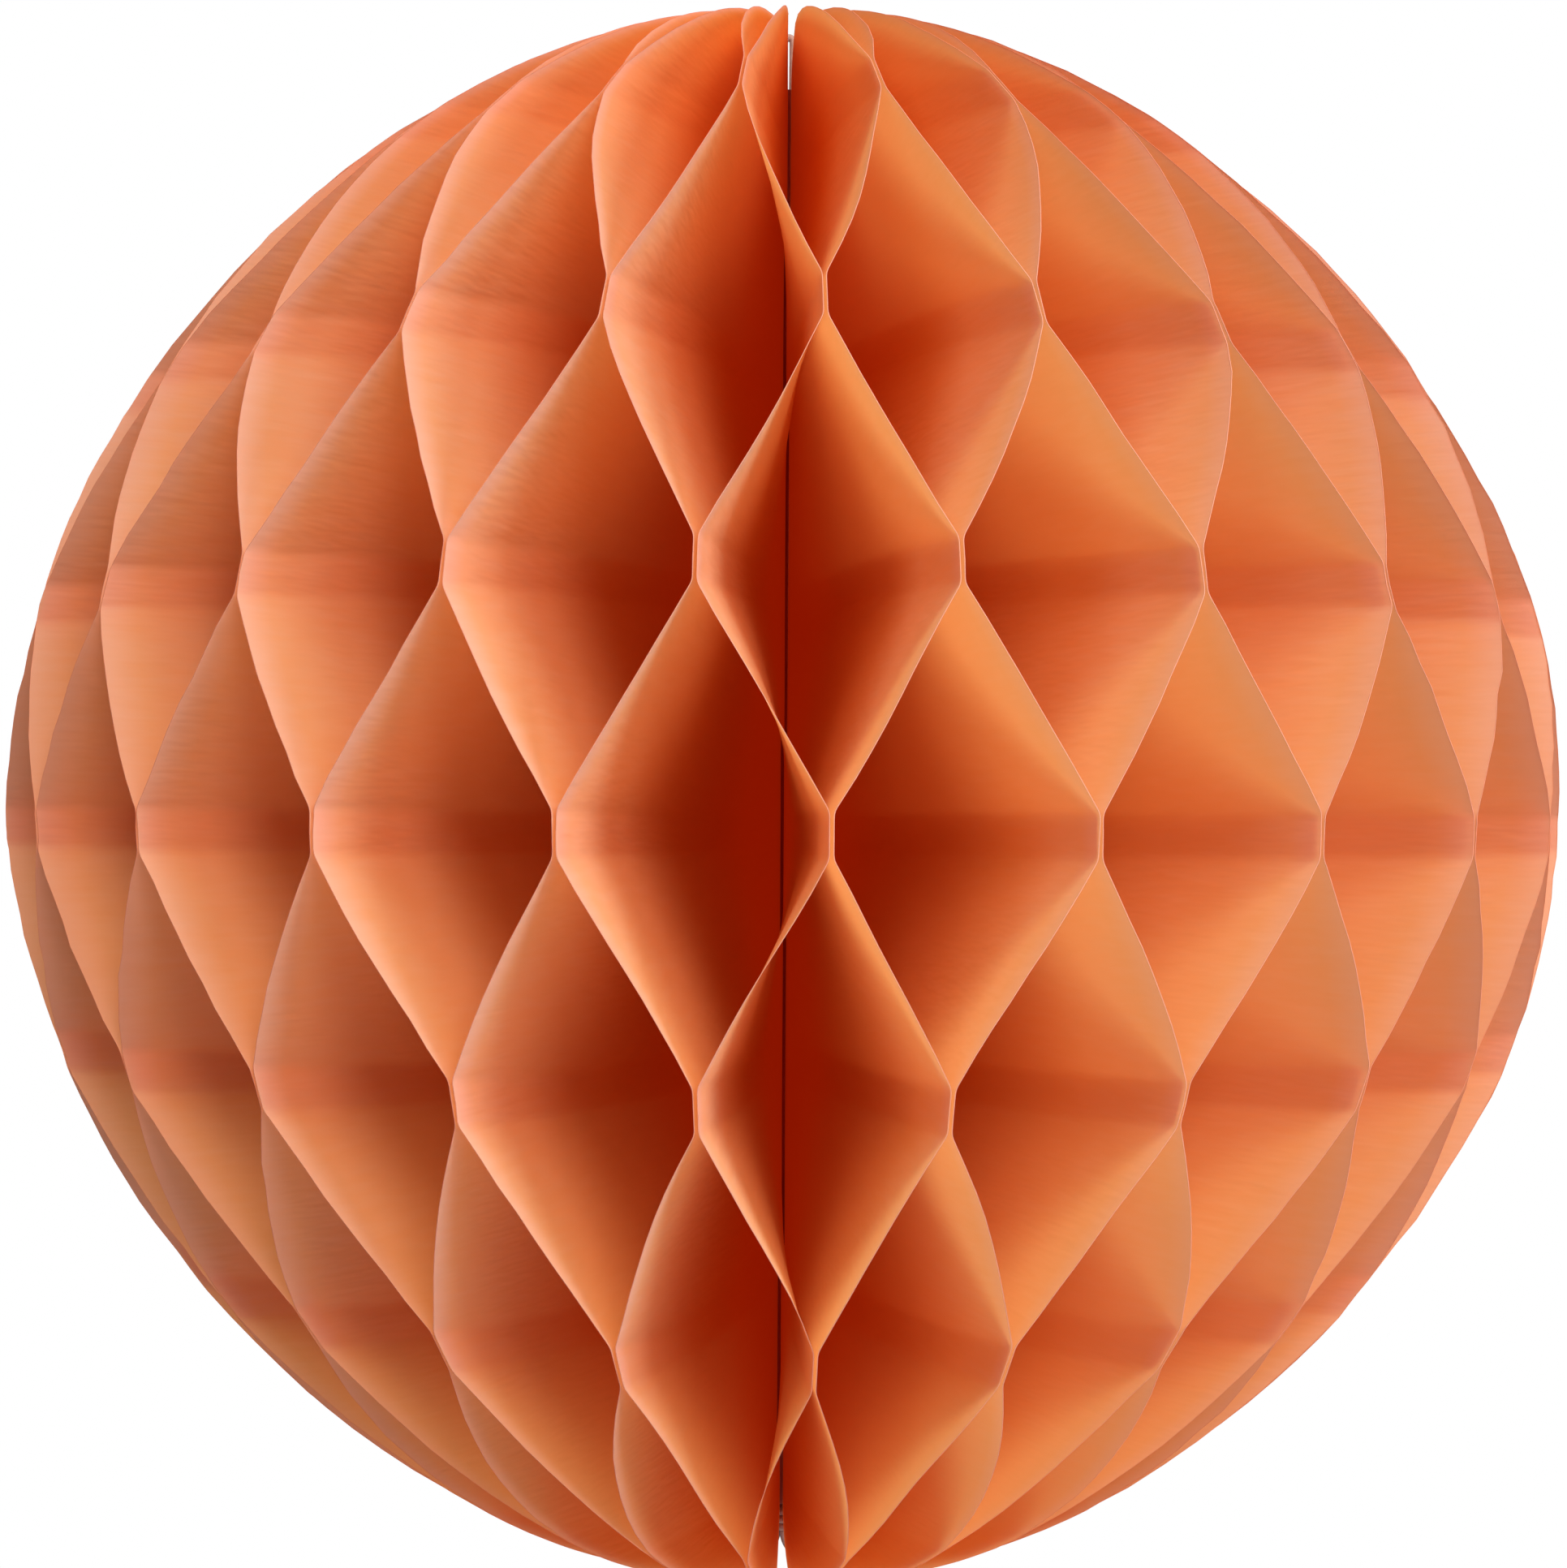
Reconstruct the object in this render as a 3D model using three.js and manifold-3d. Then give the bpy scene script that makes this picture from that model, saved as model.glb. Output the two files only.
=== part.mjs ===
// Honeycomb paper ball: half-disc tissue leaves glued in alternating lines and fanned round a bound spine.
// Millimetres, +Z up along the spine, origin at the ball's centre, -Y is the side that faces the viewer.
import * as THREE from "three";
import { mergeVertices } from "three/addons/utils/BufferGeometryUtils.js";
import Module from "manifold-3d";

const wasm = await Module();
wasm.setup();

// Driving dimensions of the ball; the leaf count is even, so that the two kinds of leaf alternate all round.
// The circle that the leaves are cut to has its centre a little behind the spine.
const ballRadius = 75;
const leafCount = 48;
const spineSetback = 6;
const cutSetback = 2.4;

// Tissue leaves and the glue lines that join each one to its two neighbours
const leafThickness = 0.2;
const glueFilm = 0.1;
const glueLinePitch = 21.4;
const glueLineWidth = 2.2;
const middleLineHeight = -3.7;
const cornerRound = 7.5;
const tipWidth = 2.5;

// Bound edge of the pad and the thread that runs through it
const bindingClearance = 0.06;
const threadDiameter = 0.75;
const strandSpacing = 0.95;
const threadClearance = 0.25;
const loopRise = 6.1;
const knotLength = 3;
const knotWidth = 3.4;
const knotGap = 0.1;
const tailLength = 3;
const tailSpread = 1.6;

// Card covers at the back, glued to the first and the last leaf and taped to each other
const coverThickness = 0.35;
const coverSetback = 3.5;
const coverInnerEdge = 8.5;
const coverStep = 3.3;
const tapeThickness = 0.1;
const tapeGap = 0.05;
const tapeWidth = 10;
const tapeRimMargin = 12;

// Fineness of the faceted surfaces
const stepsPerRamp = 2;
const roundSteps = 2;
const leastRowGap = 0.3;
const solverPasses = 40;
const coverSegments = 36;
const bindingSides = 24;
const threadSides = 8;
const threadSteps = 56;
const knotSides = 12;
const knotRings = 8;

// Angles, places and offsets that follow from the driving dimensions
const leafAngle = (2 * Math.PI) / leafCount;
const halfAngle = leafAngle / 2;
const contactOffset = (leafThickness + glueFilm) / 2 / Math.cos(halfAngle);
const leafInnerEdge = (leafThickness + glueFilm) / 2 / Math.sin(halfAngle);
const rampLength = glueLinePitch - glueLineWidth;
const spineHalfLength = ballRadius - spineSetback;
const seamAzimuth = Math.PI / 2;
const coverRadius = ballRadius - coverSetback;
const coverOffset = tapeThickness / 2 + tapeGap + coverThickness;
const coverClear = coverInnerEdge - glueFilm;
const coverLeadIn = coverClear - coverStep;

const tissue = new THREE.MeshStandardMaterial({ color: 0xe8824e, roughness: 0.85, metalness: 0 });
const card = new THREE.MeshStandardMaterial({ color: 0xdd7a48, roughness: 0.8, metalness: 0 });
const adhesive = new THREE.MeshStandardMaterial({ color: 0xe9dcc8, roughness: 0.5, metalness: 0 });
const cotton = new THREE.MeshStandardMaterial({ color: 0xe6d2c6, roughness: 0.9, metalness: 0 });
const bindingGlue = new THREE.MeshStandardMaterial({ color: 0xb4542c, roughness: 0.7, metalness: 0 });

// Names a mesh and gives it its material
function namedMesh(name, geometry, material) {
  const mesh = new THREE.Mesh(geometry, material);
  mesh.name = name;
  return mesh;
}

// Keeps only positions and joins equal vertices, so that the surface is closed
function closedSurface(geometry) {
  const bare = new THREE.BufferGeometry();
  bare.setAttribute("position", geometry.attributes.position.clone());
  if (geometry.index) bare.setIndex(geometry.index.clone());
  return mergeVertices(bare);
}

// Turns a closed surface into a solid that can be joined or cut
function toSolid(geometry) {
  const merged = closedSurface(geometry);
  return new wasm.Manifold(
    new wasm.Mesh({
      numProp: 3,
      vertProperties: new Float32Array(merged.attributes.position.array),
      triVerts: new Uint32Array(merged.index.array),
    }),
  );
}

// Turns a joined or cut solid back into a geometry
function fromSolid(solid) {
  const mesh = solid.getMesh();
  const geometry = new THREE.BufferGeometry();
  geometry.setAttribute("position", new THREE.BufferAttribute(new Float32Array(mesh.vertProperties), 3));
  geometry.setIndex(new THREE.BufferAttribute(new Uint32Array(mesh.triVerts), 1));
  geometry.computeVertexNormals();
  return geometry;
}

// Counts glue lines up the flat leaf, whole on a line and running evenly from one to the next on a ramp
function lineCount(flatHeight) {
  const raw = (flatHeight - middleLineHeight) / glueLinePitch;
  const nearest = Math.round(raw);
  const away = flatHeight - middleLineHeight - nearest * glueLinePitch;
  const onRamp = Math.max(0, Math.abs(away) - glueLineWidth / 2);
  return nearest + (Math.sign(away) * onRamp) / rampLength;
}

// Runs from 1 on even glue lines to -1 on odd ones
function foldSide(flatHeight) {
  const count = lineCount(flatHeight);
  return 1 - 2 * Math.abs(count - 2 * Math.round(count / 2));
}

// How far a leaf reaches from its own plane to the glue line it shares with a neighbour
function reach(radius) {
  return radius * Math.tan(halfAngle) - contactOffset;
}

// The same beside a cover, which takes its own thickness from the leaf's room where the cover is
function reachBesideCover(radius) {
  const begun = THREE.MathUtils.clamp((radius - coverLeadIn) / (coverClear - coverLeadIn), 0, 1);
  return reach(radius) - (coverOffset * begun) / Math.cos(halfAngle);
}

// Height of a point of the flat leaf once the folds have drawn it in, so that no paper stretches
function foldedHeight(radius, flatHeight) {
  const shortening = rampLength - Math.sqrt(rampLength ** 2 - (2 * reach(radius)) ** 2);
  return flatHeight - shortening * (lineCount(flatHeight) - lineCount(0));
}

// Distance from the spine to the cut rim at a flat height
function outlineRadius(flatHeight) {
  return Math.sqrt(ballRadius ** 2 - flatHeight ** 2) - cutSetback;
}

// Radius at which the rounded corner beside the spine starts at a flat height
function innerRadius(flatHeight) {
  const past = Math.abs(flatHeight) - spineHalfLength;
  if (past <= 0) return leafInnerEdge;
  const share = Math.min(1, past / spineSetback);
  return leafInnerEdge + cornerRound * (1 - Math.sqrt(1 - share ** 2));
}

// Flat height of the leaf's upper tip, where the round corner meets the cut rim
function tipHeight() {
  let low = spineHalfLength;
  let high = ballRadius;
  for (let pass = 0; pass < solverPasses; pass += 1) {
    const middle = (low + high) / 2;
    const width = outlineRadius(middle) - innerRadius(middle);
    if (width > tipWidth) low = middle;
    else high = middle;
  }
  return low;
}

// Flat heights of the rows of points of a leaf: both edges of each glue line, the ramps, the round ends
function leafHeights() {
  const top = tipHeight();
  const heights = [];
  for (let step = 0; step < roundSteps; step += 1) {
    const height = spineHalfLength + ((top - spineHalfLength) * step) / roundSteps;
    heights.push(-height, height);
  }
  const farthestLine = Math.ceil(ballRadius / glueLinePitch) + 1;
  for (let line = -farthestLine; line <= farthestLine; line += 1) {
    const edge = middleLineHeight + line * glueLinePitch - glueLineWidth / 2;
    heights.push(edge, edge + glueLineWidth);
    for (let step = 1; step < stepsPerRamp; step += 1) {
      heights.push(edge + glueLineWidth + (rampLength * step) / stepsPerRamp);
    }
  }
  const rows = [-top];
  for (const height of heights.sort((a, b) => a - b)) {
    if (height > rows.at(-1) + leastRowGap && height < top - leastRowGap) rows.push(height);
  }
  return [...rows, top];
}

// Radii of a plain leaf's columns of points on one row
function plainColumns(start, end) {
  return [start, (start + end) / 2, end];
}

// Radii of the columns of a leaf beside a cover, with one on each side of the step at the cover's edge
function coverColumns(start, end) {
  const clear = Math.min(coverClear, start + (end - start) / 2);
  const leadIn = Math.min(coverLeadIn, (start + clear) / 2);
  return [start, Math.max(leadIn, start + (clear - start) / 3), clear, (clear + end) / 2, end];
}

// Adds a four-cornered patch as two triangles that meet on the diagonal from its first corner
function addPatch(triangles, first, second, third, fourth) {
  triangles.push(first, second, third, first, third, fourth);
}

// Triangles of a closed sheet whose front and back points alternate; both skins share the same diagonals
function sheetTriangles(rowSteps, columnSteps) {
  const front = (row, column) => 2 * (row * (columnSteps + 1) + column);
  const back = (row, column) => front(row, column) + 1;
  const triangles = [];
  for (let row = 0; row < rowSteps; row += 1) {
    for (let column = 0; column < columnSteps; column += 1) {
      const corners = [[row, column], [row, column + 1], [row + 1, column + 1], [row + 1, column]];
      const [a, b, c, d] = corners.map((corner) => front(...corner));
      addPatch(triangles, a, b, c, d);
      addPatch(triangles, a + 1, d + 1, c + 1, b + 1);
    }
  }
  for (let row = 0; row < rowSteps; row += 1) {
    const next = row + 1;
    addPatch(triangles, front(row, 0), front(next, 0), back(next, 0), back(row, 0));
    const last = columnSteps;
    addPatch(triangles, front(row, last), back(row, last), back(next, last), front(next, last));
  }
  for (let column = 0; column < columnSteps; column += 1) {
    const next = column + 1;
    addPatch(triangles, front(0, column), back(0, column), back(0, next), front(0, next));
    const last = rowSteps;
    addPatch(triangles, front(last, column), front(last, next), back(last, next), back(last, column));
  }
  return triangles;
}

// One folded leaf in the plane of x and z: rows of points up the height, columns out from the spine
function leafGeometry(parity, lowerReach, upperReach, columns) {
  const heights = leafHeights();
  const points = [];
  for (const flatHeight of heights) {
    for (const radius of columns(innerRadius(flatHeight), outlineRadius(flatHeight))) {
      const side = parity * foldSide(flatHeight);
      const bent = ((1 + side) / 2) * upperReach(radius) - ((1 - side) / 2) * lowerReach(radius);
      const height = foldedHeight(radius, flatHeight);
      points.push(radius, bent - leafThickness / 2, height, radius, bent + leafThickness / 2, height);
    }
  }
  const geometry = new THREE.BufferGeometry();
  geometry.setAttribute("position", new THREE.Float32BufferAttribute(points, 3));
  geometry.setIndex(sheetTriangles(heights.length - 1, columns(0, 1).length - 1));
  geometry.computeVertexNormals();
  return geometry;
}

// All the leaves, counted from the seam and turning to the left as seen from above
function leaves() {
  const group = new THREE.Group();
  for (let number = 1; number <= leafCount; number += 1) {
    const parity = number % 2 === 0 ? 1 : -1;
    const lower = number === 1 ? reachBesideCover : reach;
    const upper = number === leafCount ? reachBesideCover : reach;
    const columns = number === 1 || number === leafCount ? coverColumns : plainColumns;
    const name = `leaf_${String(number).padStart(2, "0")}`;
    const leaf = namedMesh(name, leafGeometry(parity, lower, upper, columns), tissue);
    leaf.rotation.z = seamAzimuth + (number - 0.5) * leafAngle;
    group.add(leaf);
  }
  return group;
}

// Card cut round the same centre as the leaves, whose straight edge stops short of the spine
function coverGeometry() {
  const startAngle = Math.acos((coverInnerEdge + cutSetback) / coverRadius);
  const outline = new THREE.Shape();
  outline.absarc(-cutSetback, 0, coverRadius, -startAngle, startAngle, false);
  return new THREE.ExtrudeGeometry(outline, {
    depth: coverThickness,
    bevelEnabled: false,
    curveSegments: coverSegments,
  });
}

// The two covers lie face to face in the seam plane at the back
function covers() {
  const group = new THREE.Group();
  group.rotation.set(Math.PI / 2, 0, 0);
  const standing = new THREE.Group();
  standing.rotation.z = seamAzimuth;
  const left = namedMesh("cover_left", coverGeometry(), card);
  left.position.z = -coverOffset;
  const right = namedMesh("cover_right", coverGeometry(), card);
  right.position.z = coverOffset - coverThickness;
  group.add(left, right);
  standing.add(group);
  return standing;
}

// Double-sided tape between the covers, upright in the middle of them and set in from their rim
function closingTape() {
  const middle = (coverInnerEdge + coverRadius - cutSetback) / 2;
  const rimHeight = Math.sqrt(coverRadius ** 2 - (middle + tapeWidth / 2 + cutSetback) ** 2);
  const strip = new THREE.BoxGeometry(tapeThickness, tapeWidth, 2 * (rimHeight - tapeRimMargin));
  const tape = namedMesh("closing_tape", strip, adhesive);
  tape.position.y = middle;
  return tape;
}

// Bound edge of the pad: a slim sleeve inside the ring of leaf edges, round the thread
function spineBinding() {
  const outer = leafInnerEdge - bindingClearance;
  const inner = (strandSpacing + threadDiameter) / 2 + threadClearance;
  const profile = [
    new THREE.Vector2(inner, -spineHalfLength),
    new THREE.Vector2(outer, -spineHalfLength),
    new THREE.Vector2(outer, spineHalfLength),
    new THREE.Vector2(inner, spineHalfLength),
    new THREE.Vector2(inner, -spineHalfLength),
  ];
  const sleeve = new THREE.LatheGeometry(profile, bindingSides);
  sleeve.rotateX(Math.PI / 2);
  return namedMesh("spine_binding", sleeve, bindingGlue);
}

// Route of the thread: up one strand from its tail, round the loop and down the other strand
class ThreadRoute extends THREE.Curve {
  getPoint(share, target = new THREE.Vector3()) {
    const bend = strandSpacing / 2;
    const crown = spineHalfLength + loopRise - threadDiameter / 2 - bend;
    const knotEnd = -spineHalfLength - knotGap - knotLength;
    const straight = crown - knotEnd;
    const half = tailLength + straight + (Math.PI * bend) / 2;
    const along = Math.abs(share - 0.5) * 2 * half;
    const sideways = share < 0.5 ? -1 : 1;
    const turn = along / bend;
    if (turn < Math.PI / 2) {
      return target.set(sideways * bend * Math.sin(turn), 0, crown + bend * Math.cos(turn));
    }
    const down = along - (Math.PI * bend) / 2;
    const past = Math.max(0, down - straight) / tailLength;
    return target.set(sideways * (bend + tailSpread * past ** 2), 0, crown - down);
  }
}

// Thread section as a regular polygon
function threadSection() {
  const section = new THREE.Shape();
  section.absarc(0, 0, threadDiameter / 2, 0, 2 * Math.PI, false);
  return section;
}

// Hanging thread with its knot, which bears on the lower end of the binding
function hangingThread() {
  const tube = new THREE.ExtrudeGeometry(threadSection(), {
    steps: threadSteps,
    curveSegments: threadSides / 2,
    extrudePath: new ThreadRoute(),
  });
  const lump = new THREE.SphereGeometry(1, knotSides, knotRings);
  lump.rotateX(Math.PI / 2);
  lump.scale(knotWidth / 2, knotWidth / 2, knotLength / 2);
  lump.translate(0, 0, -spineHalfLength - knotGap - knotLength / 2);
  const joined = toSolid(tube).add(toSolid(lump));
  return namedMesh("hanging_thread", fromSolid(joined), cotton);
}

const ball = new THREE.Group();
ball.add(leaves(), covers(), closingTape(), spineBinding(), hangingThread());

export default ball;
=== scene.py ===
import math

import bpy
import numpy as np
from mathutils import Matrix, Vector


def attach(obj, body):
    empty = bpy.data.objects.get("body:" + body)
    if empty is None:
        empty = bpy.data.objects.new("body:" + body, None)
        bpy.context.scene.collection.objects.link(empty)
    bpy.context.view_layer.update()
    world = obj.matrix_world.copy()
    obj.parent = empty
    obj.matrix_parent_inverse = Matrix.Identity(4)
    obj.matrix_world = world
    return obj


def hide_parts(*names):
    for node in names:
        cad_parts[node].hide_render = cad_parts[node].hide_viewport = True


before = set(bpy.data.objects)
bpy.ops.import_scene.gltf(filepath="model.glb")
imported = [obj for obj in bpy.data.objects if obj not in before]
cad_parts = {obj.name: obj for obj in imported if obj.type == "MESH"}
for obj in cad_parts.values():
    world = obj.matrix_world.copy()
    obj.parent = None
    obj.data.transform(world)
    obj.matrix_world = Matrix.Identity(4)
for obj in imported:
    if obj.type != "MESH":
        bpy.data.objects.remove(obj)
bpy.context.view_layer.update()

MM = 0.001

# The ball, in millimetres: the same dimensions as the frame's
BALL_RADIUS = 75.0
LEAF_COUNT = 48
SPINE_HALF_LENGTH = 69.0
SPINE_SETBACK = 6.0
CUT_SETBACK = 2.4
LEAF_THICKNESS = 0.2
GLUE_FILM = 0.1
GLUE_LINE_PITCH = 21.4
GLUE_LINE_WIDTH = 2.2
MIDDLE_LINE_HEIGHT = -3.7
CORNER_ROUND = 7.5
TIP_WIDTH = 2.5

# Details of the tissue that the frame leaves out
FOLD_SOFTNESS = 1.0
RIM_BAND = 0.06
# width over which the painted rim highlight fades inwards from the cut rim
RIM_HIGHLIGHT_FADE = 2.6
RAGGEDNESS = 0.07
RAGGED_POINTS = 90
RAGGED_REACH = 76
RIPPLE_HEIGHT = 0.16
RIPPLE_COUNT = 5
RIPPLE_SHORTEST = 12
RIPPLE_LONGEST = 40
RIPPLE_FREE_FROM = 30
LEAN_DEGREES = 0.12
GLUED_FROM = 0.9

# Fineness of the leaves
FINE_REACH = 90.0
FINE_STEP = 0.02
SOLVER_PASSES = 30
LINES_EACH_WAY = 5
BEND_STEPS = 5
RAMP_STEPS = 5
END_STEPS = 7
LEAST_ROW_GAP = 0.15
COLUMNS = 19
COLUMN_POWER = 0.8

# Card covers in the seam at the back, and the tape between them
COVER_RADIUS = 71.5
COVER_THICKNESS = 0.35
COVER_INNER_EDGE = 8.5
COVER_OFFSET = 0.45
COVER_LEAD_IN = 5.1
COVER_CLEAR = 8.4
COVER_SOFTNESS = 0.08
COVER_ARC_POINTS = 181
COVER_WAVER = 0.03
COVER_WAVER_POINTS = 40
COVER_TRIM = 0.05
TAPE_THICKNESS = 0.1
TAPE_MIDDLE = 38.8
TAPE_WIDTH = 10.0
TAPE_HALF_HEIGHT = 41.5
TAPE_TOOTH_POINTS = 21
TAPE_TOOTH_HEIGHT = 0.4
TAPE_SOFTNESS = 0.02

# Bound edge of the pad
SLEEVE_OUTER = 2.18
SLEEVE_INNER = 1.12
FLUTE_DEPTH = 0.05
SLEEVE_TRIM = 0.06
SLEEVE_CHAMFER = 0.15
SLEEVE_SHOULDER = 0.999

# Hanging thread
THREAD_DIAMETER = 0.75
STRAND_OFFSET = 0.44
STRAND_TWIST = 5.2
LOOP_RISE = 6.1
KNOT_GAP = 0.1
KNOT_LENGTH = 3.0
KNOT_RADIUS = 1.1
TAIL_LENGTH = 2.8
TAIL_SPREAD = 1.5
TAIL_SWERVE = 0.6
THREAD_STEPS = 560
THREAD_SIDES = 10
LOOP_STEPS = 24
CROWN_STEPS = 7
TAIL_STEPS = 14
UNTWIST_LENGTH = 3
UNTWIST = 0.2
KNOT_TURNS = 3
KNOT_STEPS = 90

# Camera, in millimetres, radians and pixels of the photograph's width
PHOTO_WIDTH = 1931
FOCAL_PIXELS = 2903
SENSOR_WIDTH = 36.0
CAMERA_DISTANCE = 231.9
CAMERA_HEIGHT = -1.98
CAMERA_YAW = -0.0004
CAMERA_PITCH = 0.0128
CAMERA_ROLL = 0.0059
CAMERA_TURN = math.radians(2.53)

# Surroundings, in metres
FLOOR_SIZE = 8.0
FLOOR_DEPTH = -0.9
LAMP_DISTANCE = 1.6
AIR_STRENGTH = 0.15
BOUNCES = 4

LEAF_ANGLE = 2 * math.pi / LEAF_COUNT
HALF_ANGLE = LEAF_ANGLE / 2
SEAM_AZIMUTH = math.pi / 2
CONTACT_OFFSET = (LEAF_THICKNESS + GLUE_FILM) / 2 / math.cos(HALF_ANGLE)
LEAF_INNER_EDGE = (LEAF_THICKNESS + GLUE_FILM) / 2 / math.sin(HALF_ANGLE)
RAMP_LENGTH = GLUE_LINE_PITCH - GLUE_LINE_WIDTH

chance = np.random.default_rng(48)


# Camera, level with the middle of the ball and a little over three radii from its axis
def place_camera():
    data = bpy.data.cameras.new("view_from_front")
    data.sensor_fit = "HORIZONTAL"
    data.sensor_width = SENSOR_WIDTH
    data.lens = FOCAL_PIXELS / PHOTO_WIDTH * SENSOR_WIDTH
    data.clip_start = 0.01
    data.clip_end = 60.0
    camera = bpy.data.objects.new("view_from_front", data)
    bpy.context.scene.collection.objects.link(camera)
    level = Matrix.Rotation(CAMERA_YAW, 3, "Z")
    cosine, sine = math.cos(CAMERA_PITCH), math.sin(CAMERA_PITCH)
    tilt = Matrix(((1, 0, 0), (0, cosine, sine), (0, -sine, cosine)))
    seen = tilt @ level
    right, ahead, up = (Vector(seen[row]) for row in range(3))
    across = math.cos(CAMERA_ROLL) * right + math.sin(CAMERA_ROLL) * up
    upward = -math.sin(CAMERA_ROLL) * right + math.cos(CAMERA_ROLL) * up
    facing = Matrix((across, upward, -ahead)).transposed()
    spot = Vector((0, -CAMERA_DISTANCE * MM, CAMERA_HEIGHT * MM))
    back = Matrix.Rotation(-CAMERA_TURN, 4, "Z")
    camera.matrix_world = back @ (Matrix.Translation(spot) @ facing.to_4x4())
    bpy.context.scene.camera = camera


place_camera()


class Wire:
    """A node's output in a material, which takes part in ordinary sums."""

    def __init__(self, shader, socket):
        self.shader = shader
        self.socket = socket

    def maths(self, operation, *values):
        return self.shader.node("ShaderNodeMath", {"operation": operation}, dict(enumerate(values)))

    def __add__(self, other):
        return self.maths("ADD", self, other)

    def __mul__(self, other):
        return self.maths("MULTIPLY", self, other)


class Finish:
    """One node-based material."""

    def __init__(self, name):
        self.material = bpy.data.materials.new(name)
        self.material.use_nodes = True
        # the tissue's painted glow is too faint to be aimed at like a lamp
        self.material.cycles.emission_sampling = "NONE"
        self.tree = self.material.node_tree
        self.tree.nodes.clear()

    def node(self, kind, settings=None, sockets=None, output=0):
        made = self.tree.nodes.new(kind)
        for key, value in (settings or {}).items():
            setattr(made, key, value)
        for key, value in (sockets or {}).items():
            if isinstance(value, Wire):
                self.tree.links.new(value.socket, made.inputs[key])
            else:
                made.inputs[key].default_value = value
        return Wire(self, made.outputs[output])

    def place(self, scale):
        point = self.node("ShaderNodeTexCoord", output="Object")
        return self.node("ShaderNodeMapping", {}, {"Vector": point, "Scale": scale})

    def noise(self, scale, detail, roughness=0.5):
        sockets = {"Vector": self.place(scale), "Scale": 1.0, "Detail": detail, "Roughness": roughness}
        return self.node("ShaderNodeTexNoise", {}, sockets, output="Fac")

    def stretch(self, value, low, high, to_low=0.0, to_high=1.0):
        sockets = {"Value": value, "From Min": low, "From Max": high, "To Min": to_low, "To Max": to_high}
        return self.node("ShaderNodeMapRange", {}, sockets)

    def blend(self, share, first, second):
        settings = {"data_type": "RGBA", "blend_type": "MIX"}
        return self.node("ShaderNodeMix", settings, {0: share, 6: first, 7: second}, output=2)

    def bump(self, height, strength, distance):
        return self.node("ShaderNodeBump", {}, {"Height": height, "Strength": strength, "Distance": distance})

    def attribute(self, name):
        return self.node("ShaderNodeAttribute", {"attribute_name": name}, output="Fac")

    def surface(self, shader):
        end = self.tree.nodes.new("ShaderNodeOutputMaterial")
        self.tree.links.new(shader.socket, end.inputs["Surface"])
        return self.material


def tissue_finish():
    f = Finish("salmon_tissue")
    fibres = f.noise((220, 220, 1500), 1.0, 0.6)
    mottle = f.noise((60, 60, 90), 1.0, 0.55)
    glue = f.attribute("glued")
    rim = f.attribute("rim")
    plain = f.blend(f.stretch(mottle, 0.3, 0.7), (0.96, 0.44, 0.22, 1), (0.975, 0.48, 0.25, 1))
    streaked = f.blend(f.stretch(fibres, 0.35, 0.75, 0.0, 0.4), plain, (0.98, 0.56, 0.36, 1))
    glued = f.blend(glue * 0.12, streaked, (0.95, 0.38, 0.16, 1))
    # painted shade: towards the spine the tissue turns a darker, more saturated red, standing in for the
    # shaded depths of the cells where light bounces between leaves
    flat_place = f.place((1, 1, 0))
    from_spine = f.node("ShaderNodeVectorMath", {"operation": "LENGTH"}, {0: flat_place}, output="Value")
    painted_depth_share = f.stretch(from_spine, 0.058, 0.018)
    shaded = f.blend(painted_depth_share, glued, (0.99, 0.31, 0.05, 1))
    # painted highlight: pale pink along the cut rims, where light reaches the mouths of the cells
    colour = f.blend(rim * 0.4, shaded, (0.98, 0.62, 0.62, 1))
    # painted glow deep in the cells, standing in for what little light soaks through from leaf to leaf
    painted_glow = f.blend(painted_depth_share, (0, 0, 0, 1), (0.078, 0.007, 0.0, 1))
    crepe = f.noise((260, 260, 1500), 1.0, 0.6)
    relief = f.bump(crepe, 0.35, 0.0002)
    reflected = f.node(
        "ShaderNodeBsdfPrincipled",
        {},
        {"Base Color": colour, "Roughness": f.stretch(fibres, 0.3, 0.7, 0.78, 0.92),
         "Specular IOR Level": 0.2, "Normal": relief,
         "Emission Color": painted_glow, "Emission Strength": 1.0},
    )
    through = f.node("ShaderNodeBsdfTranslucent", {}, {"Color": (0.985, 0.42, 0.12, 1)})
    return f.surface(f.node("ShaderNodeMixShader", {}, {0: 0.45, 1: reflected, 2: through}))


def card_finish():
    f = Finish("orange_card")
    flecks = f.noise((900, 900, 900), 4.0, 0.65)
    cloud = f.noise((45, 45, 45), 2.0)
    plain = f.blend(f.stretch(cloud, 0.3, 0.7), (0.74, 0.215, 0.075, 1), (0.80, 0.26, 0.10, 1))
    colour = f.blend(f.stretch(flecks, 0.55, 0.8, 0.0, 0.5), plain, (0.88, 0.40, 0.22, 1))
    relief = f.bump(flecks, 0.25, 0.0001)
    return f.surface(f.node("ShaderNodeBsdfPrincipled", {}, {
        "Base Color": colour, "Roughness": f.stretch(flecks, 0.3, 0.7, 0.68, 0.84),
        "Specular IOR Level": 0.35, "Normal": relief}))


def tape_finish():
    f = Finish("tape_film")
    streaks = f.noise((300, 300, 60), 3.0)
    colour = f.blend(f.stretch(streaks, 0.35, 0.65), (0.78, 0.68, 0.52, 1), (0.88, 0.80, 0.68, 1))
    return f.surface(f.node("ShaderNodeBsdfPrincipled", {}, {
        "Base Color": colour, "Roughness": f.stretch(streaks, 0.3, 0.7, 0.3, 0.45)}))


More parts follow.
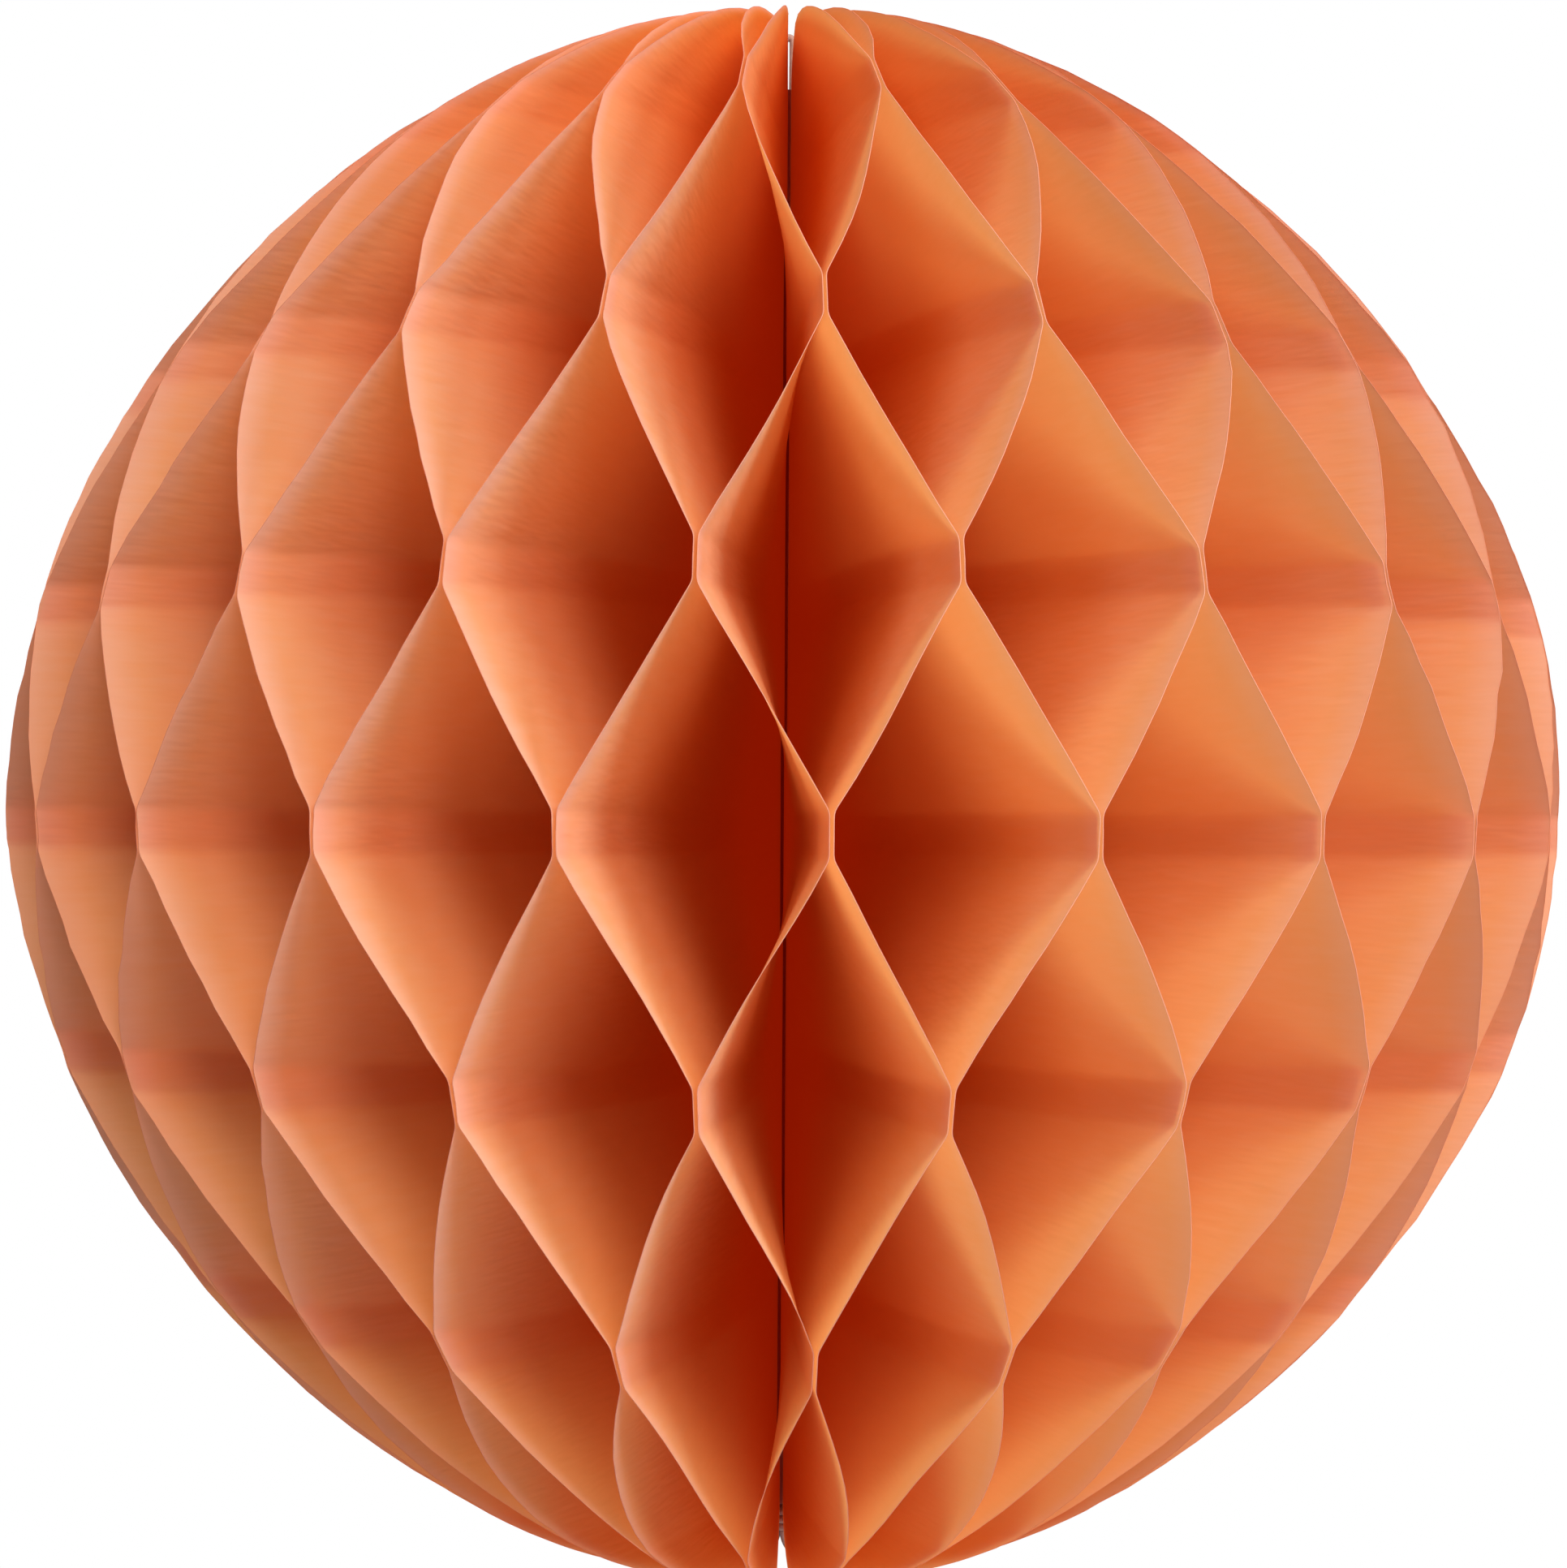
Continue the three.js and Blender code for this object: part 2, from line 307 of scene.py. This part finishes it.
def thread_finish():
    f = Finish("cotton_thread")
    fuzz = f.noise((2500, 2500, 2500), 3.0, 0.7)
    colour = f.blend(f.stretch(fuzz, 0.3, 0.7), (0.40, 0.19, 0.14, 1), (0.56, 0.32, 0.26, 1))
    relief = f.bump(fuzz, 0.5, 0.00005)
    return f.surface(f.node("ShaderNodeBsdfPrincipled", {}, {
        "Base Color": colour, "Roughness": 0.9, "Sheen Weight": 0.3, "Normal": relief}))


def binding_finish():
    f = Finish("bound_paper_edges")
    edges = f.noise((2200, 2200, 120), 3.0, 0.6)
    colour = f.blend(f.stretch(edges, 0.3, 0.7), (0.36, 0.06, 0.025, 1), (0.55, 0.12, 0.05, 1))
    relief = f.bump(edges, 0.6, 0.0001)
    return f.surface(f.node("ShaderNodeBsdfPrincipled", {}, {
        "Base Color": colour, "Roughness": f.stretch(edges, 0.3, 0.7, 0.55, 0.75), "Normal": relief}))


TISSUE = tissue_finish()
CARD = card_finish()
TAPE = tape_finish()
COTTON = thread_finish()
BINDING = binding_finish()


def piece(name, points, faces, material, replaced, smooth=True):
    """A mesh piece, given in millimetres, that rides on the ball and stands for a node of the frame."""
    mesh = bpy.data.meshes.new(name)
    points = np.asarray(points, float) * MM
    mesh.from_pydata(points.tolist(), [], [list(map(int, face)) for face in faces])
    mesh.update()
    if smooth:
        mesh.shade_smooth()
    mesh.materials.append(material)
    made = bpy.data.objects.new(name, mesh)
    bpy.context.scene.collection.objects.link(made)
    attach(made, "root")
    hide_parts(replaced)
    return made


FINE = np.arange(-FINE_REACH, FINE_REACH + 0.0001, FINE_STEP)


def fold_slopes():
    """How steeply the fold runs at each flat height: level on a glue line, steep between, with soft bends."""
    line = (FINE - MIDDLE_LINE_HEIGHT) / GLUE_LINE_PITCH
    low = np.floor(line)
    along = (line - low) * GLUE_LINE_PITCH
    from_edge = np.minimum(along, GLUE_LINE_PITCH - along) - GLUE_LINE_WIDTH / 2
    share = np.clip(from_edge / FOLD_SOFTNESS, 0, 1)
    shape = share * share * (3 - 2 * share)
    steep = 2 / (RAMP_LENGTH - FOLD_SOFTNESS)
    down = np.where(low % 2 == 0, -1.0, 1.0)
    return down * steep * shape


def running_total(values):
    step = FINE[1] - FINE[0]
    total = np.concatenate([[0], np.cumsum((values[1:] + values[:-1]) / 2 * step)])
    return total - np.interp(0, FINE, total)


SLOPES = fold_slopes()
TOTALS = [running_total(SLOPES**power) for power in (2, 4, 6)]
SIDE = running_total(SLOPES)
SIDE = SIDE - np.interp(MIDDLE_LINE_HEIGHT, FINE, SIDE) + 1


def reach(radius, angle=HALF_ANGLE):
    return radius * math.tan(angle) - CONTACT_OFFSET


def folded_height(radius, flat):
    """Height of a point of the flat leaf once the folds have drawn it in, with no stretching of the paper."""
    out = reach(radius)
    two, four, six = (np.interp(flat, FINE, total) for total in TOTALS)
    return flat - out**2 * two / 2 - out**4 * four / 8 - out**6 * six / 16


def outline_radius(flat):
    return np.sqrt(BALL_RADIUS**2 - flat**2) - CUT_SETBACK


def inner_radius(flat):
    share = np.clip((np.abs(flat) - SPINE_HALF_LENGTH) / SPINE_SETBACK, 0, 1)
    return LEAF_INNER_EDGE + CORNER_ROUND * (1 - np.sqrt(1 - share**2))


def tip_height():
    """Flat height at which the rounded corner meets the cut rim."""
    low, high = SPINE_HALF_LENGTH, BALL_RADIUS
    for _ in range(SOLVER_PASSES):
        middle = (low + high) / 2
        if outline_radius(middle) - inner_radius(middle) > TIP_WIDTH:
            low = middle
        else:
            high = middle
    return low


def leaf_rows():
    """Flat heights of a leaf's rows of points, closest at the bends beside the glue lines."""
    top = tip_height()
    bottom = -top
    rows = [bottom, top]
    for line in range(-LINES_EACH_WAY, LINES_EACH_WAY + 1):
        middle = MIDDLE_LINE_HEIGHT + line * GLUE_LINE_PITCH
        edge = GLUE_LINE_WIDTH / 2
        offsets = [0.0, edge] + list(edge + FOLD_SOFTNESS * np.linspace(0.2, 1.0, BEND_STEPS))
        offsets += list(np.linspace(edge + FOLD_SOFTNESS, GLUE_LINE_PITCH / 2, RAMP_STEPS)[1:])
        rows += [middle + sign * offset for offset in offsets for sign in (-1, 1)]
    for share in np.linspace(0, 1, END_STEPS):
        rows.append(bottom + (-SPINE_HALF_LENGTH - bottom) * share)
        rows.append(top + (SPINE_HALF_LENGTH - top) * share)
    rows = np.unique(np.round([row for row in rows if bottom <= row <= top], 3))
    kept = [rows[0]]
    for row in rows[1:]:
        if row - kept[-1] > LEAST_ROW_GAP:
            kept.append(row)
    return np.array(kept)


ROWS = leaf_rows()
ACROSS = np.linspace(0, 1, COLUMNS) ** COLUMN_POWER
# Each glue plane stands a little off its even place
LEAN = np.radians(chance.normal(0, LEAN_DEGREES, LEAF_COUNT + 1))
LEAN[0] = LEAN[-1] = 0


def ripple(radius, flat):
    """Soft waves over the flat sheet, made of a few plain ones in random directions."""
    total = np.zeros_like(radius)
    for _ in range(RIPPLE_COUNT):
        length = chance.uniform(RIPPLE_SHORTEST, RIPPLE_LONGEST)
        angle = chance.uniform(0, math.pi)
        phase = chance.uniform(0, 2 * math.pi)
        along = radius * math.cos(angle) + flat * math.sin(angle)
        total += np.sin(2 * math.pi / length * along + phase)
    return total * RIPPLE_HEIGHT / math.sqrt(RIPPLE_COUNT)


def sheet_faces(rows, columns):
    """Faces of one skin of paper, then of the narrow band on its cut rim, whose points come last."""
    skin = np.arange(rows * columns).reshape(rows, columns)
    faces = np.stack([skin[:-1, :-1], skin[:-1, 1:], skin[1:, 1:], skin[1:, :-1]], -1)
    left = rows * columns + np.arange(rows)
    right = left + rows
    band = np.stack([left[:-1], right[:-1], right[1:], left[1:]], -1)
    return np.concatenate([faces.reshape(-1, 4), band])


def beside_cover(radius, out):
    """The first and the last leaf stand off the seam by the cover's offset, beginning near its inner edge."""
    begun = np.clip((radius - COVER_LEAD_IN) / (COVER_CLEAR - COVER_LEAD_IN), 0, 1)
    return out - COVER_OFFSET * begun / math.cos(HALF_ANGLE)


def make_leaf(number):
    parity = 1 if number % 2 == 0 else -1
    flat = ROWS[:, None] * np.ones_like(ACROSS)[None, :]
    knots = np.linspace(-RAGGED_REACH, RAGGED_REACH, RAGGED_POINTS)
    ragged = RAGGEDNESS * np.interp(ROWS, knots, chance.normal(0, 1, RAGGED_POINTS))
    outer = outline_radius(ROWS) + ragged
    inner = inner_radius(ROWS)
    radius = inner[:, None] + (outer - inner)[:, None] * ACROSS[None, :]
    upper = reach(radius, HALF_ANGLE + LEAN[number])
    lower = reach(radius, HALF_ANGLE - LEAN[number - 1])
    if number == LEAF_COUNT:
        upper = beside_cover(radius, upper)
    if number == 1:
        lower = beside_cover(radius, lower)
    side = parity * np.interp(flat, FINE, SIDE)
    bent = (1 + side) / 2 * upper - (1 - side) / 2 * lower
    # the paper ripples only where it is away from the glue lines and the spine
    free = np.clip(1 - np.abs(side) ** 3, 0, 1) * np.clip(radius / RIPPLE_FREE_FROM, 0, 1)
    bent = bent + free * ripple(radius, flat)
    height = folded_height(radius, flat)
    skin = np.stack([radius, bent, height], -1)
    half = np.array([0, RIM_BAND / 2, 0])
    cut = skin[:, -1]
    points = np.concatenate([skin.reshape(-1, 3), cut - half, cut + half])
    turn = SEAM_AZIMUTH + (number - 0.5) * LEAF_ANGLE
    cosine, sine = math.cos(turn), math.sin(turn)
    spin = np.array([[cosine, -sine, 0], [sine, cosine, 0], [0, 0, 1]])
    name = f"tissue_leaf_{number:02d}"
    faces = sheet_faces(len(ROWS), len(ACROSS))
    made = piece(name, points @ spin.T, faces, TISSUE, f"leaf_{number:02d}")
    glued = np.clip((np.abs(side) - GLUED_FROM) / (1 - GLUED_FROM), 0, 1)
    # share of the painted rim highlight, strongest at the cut rim
    rim = np.clip(1 - (outer[:, None] - radius) / RIM_HIGHLIGHT_FADE, 0, 1) ** 2
    for label, values in (("glued", glued), ("rim", rim)):
        kept = made.data.attributes.new(label, "FLOAT", "POINT")
        values = np.concatenate([values.reshape(-1), values[:, -1], values[:, -1]])
        kept.data.foreach_set("value", values.astype(np.float32))


for number in range(1, LEAF_COUNT + 1):
    make_leaf(number)


def ring_faces(rings, around, closed=False):
    """Quads between rings of points that follow each other."""
    faces = []
    for ring in range(rings if closed else rings - 1):
        low, high = ring * around, (ring + 1) % rings * around
        for spot in range(around):
            after = (spot + 1) % around
            faces.append((low + spot, low + after, high + after, high + spot))
    return faces


def plate(name, outline, low, high, soft, material, replaced):
    """A flat sheet standing in the seam plane, with softened edges.

    The outline is given in y and z, low and high in x.
    """
    outline = np.asarray(outline)
    middle = outline.mean(0)
    span = np.abs(outline - middle).max()
    layers = []
    begin = ((low, 1.0), (low + 0.3 * soft, 0.3), (low + soft, 0.0))
    end = ((high - soft, 0.0), (high - 0.3 * soft, 0.3), (high, 1.0))
    for depth, inset in begin + end:
        flat = middle + (outline - middle) * (1 - inset * soft / span)
        layers.append(np.column_stack([np.full(len(flat), depth), flat]))
    around = len(outline)
    faces = ring_faces(len(layers), around)
    faces.append(range(around - 1, -1, -1))
    last = (len(layers) - 1) * around
    faces.append(range(last, last + around))
    piece(name, np.concatenate(layers), faces, material, replaced, smooth=False)


def cover_outline():
    """Part of a disc, whose cut rim wavers a little."""
    start = math.acos((COVER_INNER_EDGE + CUT_SETBACK) / COVER_RADIUS)
    turns = np.linspace(-start, start, COVER_ARC_POINTS)
    knots = np.linspace(-start, start, COVER_WAVER_POINTS)
    waver = COVER_WAVER * np.interp(turns, knots, chance.normal(0, 1, COVER_WAVER_POINTS))
    radius = COVER_RADIUS - COVER_TRIM + waver
    return np.column_stack([radius * np.cos(turns) - CUT_SETBACK, radius * np.sin(turns)])


def tape_outline():
    """The tape's two ends are cut with teeth."""
    teeth = np.linspace(-TAPE_WIDTH / 2, TAPE_WIDTH / 2, TAPE_TOOTH_POINTS)
    heights = TAPE_HALF_HEIGHT - TAPE_TOOTH_HEIGHT * (np.arange(TAPE_TOOTH_POINTS) % 2)
    upper = np.column_stack([TAPE_MIDDLE + teeth, heights])
    return np.concatenate([upper, (upper * (1, -1))[::-1]])


def make_sleeve():
    """The bound edge: a slim tube, fluted where the leaf edges are pressed into it."""
    turns = np.linspace(0, 2 * math.pi, 4 * LEAF_COUNT, endpoint=False)
    flutes = FLUTE_DEPTH * np.cos(LEAF_COUNT * turns)
    rings = []
    # radius, share of the height and depth of the flutes, from the bore to the outside at one end
    upper_end = (
        (SLEEVE_INNER, 1, 0),
        (SLEEVE_OUTER - SLEEVE_CHAMFER, 1, 0.5),
        (SLEEVE_OUTER - SLEEVE_TRIM, SLEEVE_SHOULDER, 1),
    )
    lower_end = tuple((radius, -height, fluted) for radius, height, fluted in upper_end)
    for radius, height, fluted in lower_end + upper_end[::-1]:
        across = radius + fluted * flutes
        level = np.full(len(turns), height * SPINE_HALF_LENGTH)
        rings.append(np.column_stack([across * np.cos(turns), across * np.sin(turns), level]))
    faces = ring_faces(len(rings), len(turns), closed=True)
    piece("bound_edge", np.concatenate(rings), faces, BINDING, "spine_binding")


def thread_path():
    """One strand up, round the loop at the top and down again, twisted about the first, with two tails."""
    crown = SPINE_HALF_LENGTH + LOOP_RISE - THREAD_DIAMETER / 2 - STRAND_OFFSET
    knot = -SPINE_HALF_LENGTH - KNOT_GAP - KNOT_LENGTH
    heights = np.linspace(knot, SPINE_HALF_LENGTH, THREAD_STEPS)
    spread = np.clip((heights - SPINE_HALF_LENGTH + UNTWIST_LENGTH) / UNTWIST_LENGTH, 0, 1)
    turn = 2 * math.pi * (heights - SPINE_HALF_LENGTH) / STRAND_TWIST * (1 - UNTWIST * spread)
    up = np.column_stack([STRAND_OFFSET * np.cos(turn), STRAND_OFFSET * np.sin(turn), heights])
    rise = np.linspace(0, 1, LOOP_STEPS)[1:]
    rising = SPINE_HALF_LENGTH + rise * (crown - SPINE_HALF_LENGTH)
    side = np.column_stack([STRAND_OFFSET + 0 * rise, 0 * rise, rising])
    over = np.linspace(0, math.pi / 2, CROWN_STEPS)[1:]
    top = np.column_stack([STRAND_OFFSET * np.cos(over), 0 * over, crown + STRAND_OFFSET * np.sin(over)])
    past = np.linspace(1, 0, TAIL_STEPS)[:-1]
    outward = up[0, 0] + TAIL_SPREAD * past**2
    tail = np.column_stack([outward, up[0, 1] + TAIL_SWERVE * past, knot - TAIL_LENGTH * past])
    half = np.concatenate([tail, up, side, top])
    return np.concatenate([half, (half * (-1, -1, 1))[-2::-1]])


def knot_path():
    """Three turns wound round the strands, the outside of the knot."""
    share = np.linspace(0, 1, KNOT_STEPS)
    turn = 2 * math.pi * KNOT_TURNS * share
    radius = KNOT_RADIUS * (0.75 + 0.25 * np.sin(math.pi * share))
    top = -SPINE_HALF_LENGTH - KNOT_GAP - THREAD_DIAMETER / 2
    height = top - (KNOT_LENGTH - THREAD_DIAMETER) * share
    return np.column_stack([radius * np.cos(turn), radius * np.sin(turn), height])


def strand(path):
    """Points and faces of a round strand along a path, with closed ends."""
    along = np.gradient(path, axis=0)
    along /= np.linalg.norm(along, axis=1)[:, None]
    normal = np.cross(along[0], (0.3, 1.0, 0.2))
    rings = []
    turns = np.linspace(0, 2 * math.pi, THREAD_SIDES, endpoint=False)
    for spot, ahead in zip(path, along):
        normal = normal - ahead * normal.dot(ahead)
        normal /= np.linalg.norm(normal)
        beside = np.cross(ahead, normal)
        outwards = np.cos(turns)[:, None] * normal + np.sin(turns)[:, None] * beside
        rings.append(spot + THREAD_DIAMETER / 2 * outwards)
    last = (len(path) - 1) * THREAD_SIDES
    caps = [tuple(range(THREAD_SIDES - 1, -1, -1)), tuple(range(last, last + THREAD_SIDES))]
    return np.concatenate(rings), ring_faces(len(path), THREAD_SIDES) + caps


def make_thread():
    points, faces = strand(thread_path())
    wound, wound_faces = strand(knot_path())
    faces += [tuple(spot + len(points) for spot in face) for face in wound_faces]
    points = np.concatenate([points, wound])
    piece("cotton_thread", points, faces, COTTON, "hanging_thread")


def make_plates():
    outline = cover_outline()
    near = COVER_OFFSET - COVER_THICKNESS
    half = TAPE_THICKNESS / 2
    plate("card_left", outline, -COVER_OFFSET, -near, COVER_SOFTNESS, CARD, "cover_left")
    plate("card_right", outline, near, COVER_OFFSET, COVER_SOFTNESS, CARD, "cover_right")
    plate("tape", tape_outline(), -half, half, TAPE_SOFTNESS, TAPE, "closing_tape")


make_plates()
make_sleeve()
make_thread()


# Surroundings: a pale floor far below the hanging ball, and plain light
def studio():
    f = Finish("white_floor")
    ways = ("Is Camera Ray", "Is Glossy Ray", "Is Transmission Ray")
    camera_ray, glossy_ray, clear_ray = (f.node("ShaderNodeLightPath", output=way) for way in ways)
    seen = camera_ray + glossy_ray + clear_ray
    matt = f.node("ShaderNodeBsdfDiffuse", {}, {"Color": (0.85, 0.85, 0.85, 1)})
    white = f.node("ShaderNodeEmission", {}, {"Color": (1, 1, 1, 1), "Strength": 1.0})
    material = f.surface(f.node("ShaderNodeMixShader", {}, {0: seen, 1: matt, 2: white}))
    signs = ((-1, -1), (1, -1), (1, 1), (-1, 1))
    corners = [(across * FLOOR_SIZE, along * FLOOR_SIZE, FLOOR_DEPTH) for across, along in signs]
    mesh = bpy.data.meshes.new("floor")
    mesh.from_pydata(corners, [], [(0, 1, 2, 3)])
    mesh.materials.append(material)
    floor = bpy.data.objects.new("floor", mesh)
    bpy.context.scene.collection.objects.link(floor)


def area_lamp(name, azimuth, elevation, size, power, colour):
    """A round lamp aimed at the ball; azimuth in degrees from the front to the right, elevation upwards."""
    data = bpy.data.lights.new(name, "AREA")
    data.shape = "DISK"
    data.size = size
    data.energy = power
    data.color = colour
    lamp = bpy.data.objects.new(name, data)
    bpy.context.scene.collection.objects.link(lamp)
    a, e = math.radians(azimuth), math.radians(elevation)
    towards = Vector((math.sin(a) * math.cos(e), -math.cos(a) * math.cos(e), math.sin(e)))
    spot = towards * LAMP_DISTANCE
    lamp.location = spot
    lamp.rotation_euler = (-spot).to_track_quat("-Z", "Y").to_euler()


def daylight():
    world = bpy.data.worlds.new("studio_air")
    bpy.context.scene.world = world
    world.use_nodes = True
    nodes, links = world.node_tree.nodes, world.node_tree.links
    nodes.clear()
    path = nodes.new("ShaderNodeLightPath")
    air = nodes.new("ShaderNodeBackground")
    air.inputs["Color"].default_value = (0.5, 0.6, 1.0, 1)
    air.inputs["Strength"].default_value = AIR_STRENGTH
    white = nodes.new("ShaderNodeBackground")
    white.inputs["Color"].default_value = (1, 1, 1, 1)
    white.inputs["Strength"].default_value = 1.0
    either = nodes.new("ShaderNodeMixShader")
    end = nodes.new("ShaderNodeOutputWorld")
    links.new(path.outputs["Is Camera Ray"], either.inputs[0])
    links.new(air.outputs[0], either.inputs[1])
    links.new(white.outputs[0], either.inputs[2])
    links.new(either.outputs[0], end.inputs["Surface"])


studio()
daylight()
area_lamp("right", 57, 8, 0.8, 18, (0.72, 0.98, 1.10))
area_lamp("front", 14, 32, 0.6, 14, (1.08, 0.78, 0.60))
area_lamp("upper_left", -38, 48, 0.6, 4.5, (0.74, 0.98, 1.05))
area_lamp("upper_right", 40, 42, 0.6, 9.5, (0.90, 1.10, 1.00))

scene = bpy.context.scene
scene.view_settings.view_transform = "Standard"
scene.cycles.max_bounces = BOUNCES
scene.cycles.diffuse_bounces = BOUNCES
scene.cycles.transmission_bounces = BOUNCES
